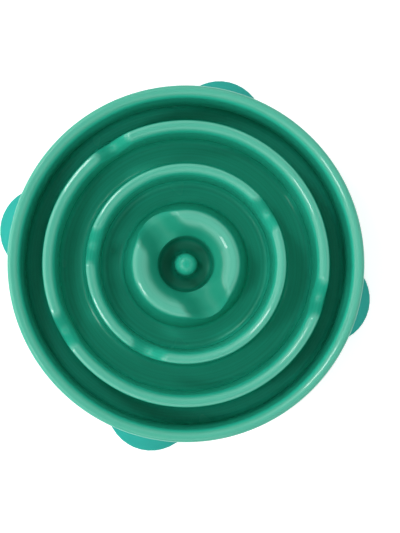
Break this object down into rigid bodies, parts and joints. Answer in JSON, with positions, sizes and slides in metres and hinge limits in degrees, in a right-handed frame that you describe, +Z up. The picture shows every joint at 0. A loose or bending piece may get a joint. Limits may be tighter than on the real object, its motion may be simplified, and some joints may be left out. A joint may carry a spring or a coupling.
{
  "type": "slow feeder bowl",
  "caption": "Round slow feeder bowl: a moulded tray of notched ring ridges round a centre post, standing on push-in soft feet.",
  "frame": {"origin": "on the ground under the middle of the bowl", "axes": "+Z up; one foot lies on each of +X, +Y, -X and -Y"},
  "size_m": [0.3018, 0.3018, 0.057],
  "materials": {
    "bowl_plastic": "glossy moulded plastic",
    "foot_rubber": "satin soft rubber"
  },
  "bodies": {
    "root": {"bowl": "bowl_plastic", "foot_right": "foot_rubber", "foot_back": "foot_rubber", "foot_left": "foot_rubber", "foot_front": "foot_rubber"}
  },
  "joints": []
}
